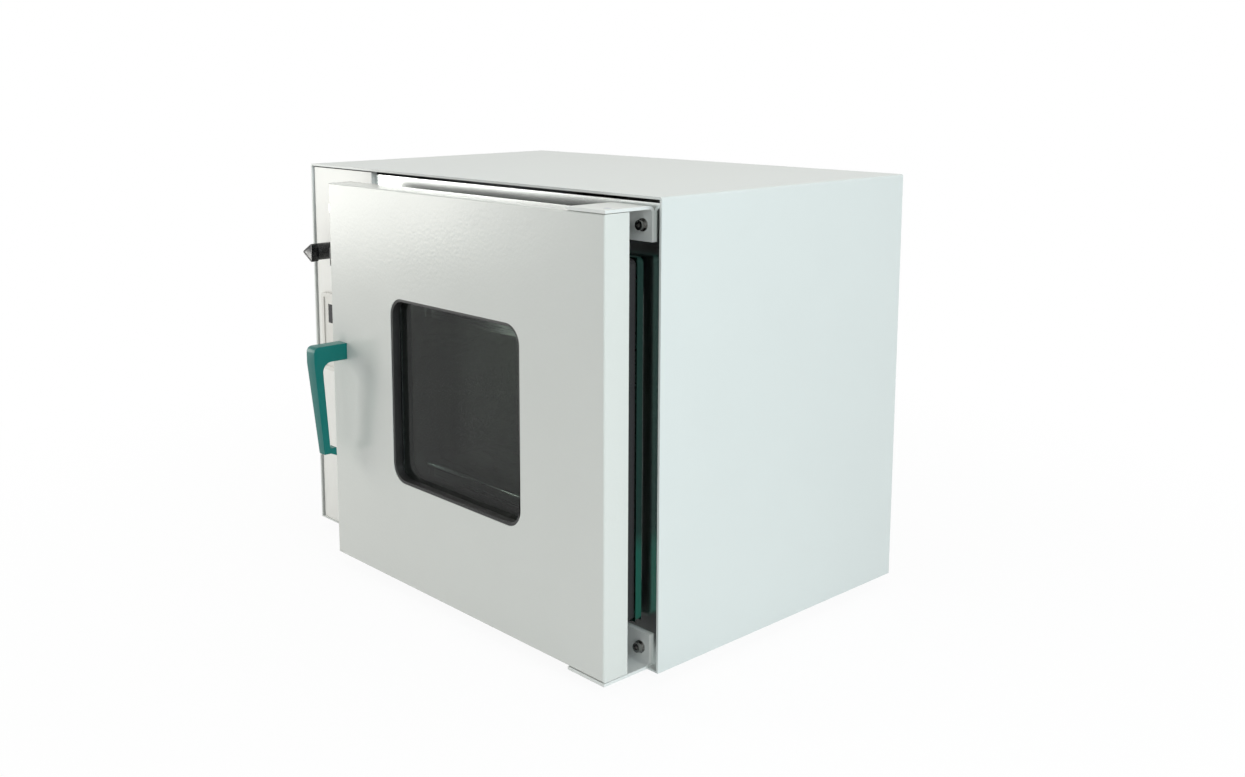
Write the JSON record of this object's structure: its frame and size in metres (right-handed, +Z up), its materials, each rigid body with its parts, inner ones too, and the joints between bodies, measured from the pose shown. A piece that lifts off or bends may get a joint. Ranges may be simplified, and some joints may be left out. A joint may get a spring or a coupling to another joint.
{
  "type": "vacuum oven",
  "caption": "Bench vacuum oven with a sheet-steel case, left control column with gauge, valves and controller, a right-hinged windowed door with turn handle, and a steel chamber with shelves.",
  "frame": {"origin": "middle of the whole object's bounding box in X and Y, on the plane of the feet", "axes": "+X to the right as seen from the front, along the width; +Y to the back; +Z up"},
  "size_m": [0.59, 0.507, 0.458],
  "materials": {
    "case_paint": "fine orange-peel powder coat, off-white",
    "door_paint": "fine orange-peel powder coat, warm off-white",
    "black_paint": "matt black powder coat",
    "handle_paint": "satin green powder coat",
    "zinc_steel": "zinc-plated sheet and screws",
    "stainless": "brushed stainless steel",
    "brass": "machined",
    "silicone": "moulded silicone, black",
    "heater_silicone": "silicone heater mat",
    "black_rubber": "moulded black rubber",
    "insulation": "ceramic fibre board",
    "thick_glass": "polished, greenish at the edges",
    "smoked_glass": "polished, smoke-tinted",
    "clear_glass": "polished",
    "black_plastic": "moulded, fine grain",
    "grey_plastic": "moulded",
    "key_plastic": "moulded keys",
    "display": "dark display window",
    "rocker_plastic": "red rocker",
    "board": "printed circuit laminate",
    "chrome": "plated",
    "dial_white": "printed dial, white",
    "pointer_black": "black pointer"
  },
  "bodies": {
    "case": {"case_shell": "case_paint", "base_tray": "case_paint", "rear_panel": "case_paint", "column_panel": "case_paint", "hinge_brackets": "case_paint", "column_bulkhead": "zinc_steel", "chamber_supports": "zinc_steel", "hinge_pins": "zinc_steel", "frame_screws": "zinc_steel", "rear_panel_screws": "zinc_steel", "latch_keeper": "zinc_steel", "chamber_frame": "stainless", "vacuum_chamber": "stainless", "chamber_flange": "stainless", "shelf_rails": "stainless", "temperature_probe": "stainless", "vacuum_nozzle": "stainless", "pipework": "stainless", "valve_bodies": "brass", "inlet_pins": "brass", "door_gasket": "silicone", "heater_mats": "heater_silicone", "rubber_feet": "black_rubber", "power_loom": "black_rubber", "insulation_slabs": "insulation", "gauge_lens": "clear_glass", "controller_case": "black_plastic", "switch_body": "black_plastic", "inlet_socket": "black_plastic", "solid_state_relay": "black_plastic", "controller_bezel": "grey_plastic", "display_window": "display", "controller_board": "board", "gauge_case": "chrome", "gauge_dial": "dial_white"},
    "door": {"door_pan": "door_paint", "window_seal": "black_rubber", "window_pane": "smoked_glass", "pane_retainer": "zinc_steel", "door_cover": "black_paint", "hinge_blocks": "zinc_steel", "door_bushes": "brass", "pressure_glass": "thick_glass", "glass_cushion": "black_rubber", "glass_clips": "zinc_steel"},
    "handle": {"handle_lever": "handle_paint", "handle_spindle": "zinc_steel", "latch_cam": "zinc_steel"},
    "vacuum_valve": {"vacuum_valve_stem": "zinc_steel", "vacuum_valve_knob": "black_plastic"},
    "vent_valve": {"vent_valve_stem": "zinc_steel", "vent_valve_knob": "black_plastic"},
    "gauge_pointer": {"gauge_needle": "pointer_black"},
    "power_rocker": {"switch_rocker": "rocker_plastic"},
    "set_key": {"key_set": "key_plastic"},
    "shift_key": {"key_shift": "key_plastic"},
    "down_key": {"key_down": "key_plastic"},
    "up_key": {"key_up": "key_plastic"},
    "bottom_shelf": {"lower_shelf": "stainless"},
    "top_shelf": {"upper_shelf": "stainless"}
  },
  "joints": [
    {"name": "door_swing", "type": "hinge", "parent": "case", "child": "door", "pos_m": [0.267, -0.196, 0.23], "axis": [0, 0, 1], "range_deg": [0, 170]},
    {"name": "handle_turn", "type": "hinge", "parent": "door", "child": "handle", "pos_m": [-0.1468, -0.196, 0.2583], "axis": [0, 1, 0], "range_deg": [0, 90]},
    {"name": "vacuum_valve_turn", "type": "hinge", "parent": "case", "child": "vacuum_valve", "pos_m": [-0.2563, -0.16, 0.3555], "axis": [0, -1, 0], "range_deg": [0, 270]},
    {"name": "vent_valve_turn", "type": "hinge", "parent": "case", "child": "vent_valve", "pos_m": [-0.2023, -0.16, 0.3555], "axis": [0, -1, 0], "range_deg": [0, 270]},
    {"name": "gauge_pointer_turn", "type": "hinge", "parent": "case", "child": "gauge_pointer", "pos_m": [-0.2278, -0.1504, 0.407], "axis": [0, -1, 0], "range_deg": [0, 270], "stiffness_Nm_per_rad": 0.0005},
    {"name": "power_rocker_tilt", "type": "hinge", "parent": "case", "child": "power_rocker", "pos_m": [-0.2293, -0.152, 0.145], "axis": [-1, 0, 0], "range_deg": [0, 14]},
    {"name": "set_key_press", "type": "slide", "parent": "case", "child": "set_key", "axis": [0, 1, 0], "range_m": [0, 0.0008], "stiffness_N_per_m": 100},
    {"name": "shift_key_press", "type": "slide", "parent": "case", "child": "shift_key", "axis": [0, 1, 0], "range_m": [0, 0.0008], "stiffness_N_per_m": 100},
    {"name": "down_key_press", "type": "slide", "parent": "case", "child": "down_key", "axis": [0, 1, 0], "range_m": [0, 0.0008], "stiffness_N_per_m": 100},
    {"name": "up_key_press", "type": "slide", "parent": "case", "child": "up_key", "axis": [0, 1, 0], "range_m": [0, 0.0008], "stiffness_N_per_m": 100},
    {"name": "bottom_shelf_slide", "type": "slide", "parent": "case", "child": "bottom_shelf", "axis": [0, -1, 0], "range_m": [0, 0.02]},
    {"name": "top_shelf_slide", "type": "slide", "parent": "case", "child": "top_shelf", "axis": [0, -1, 0], "range_m": [0, 0.02]}
  ]
}
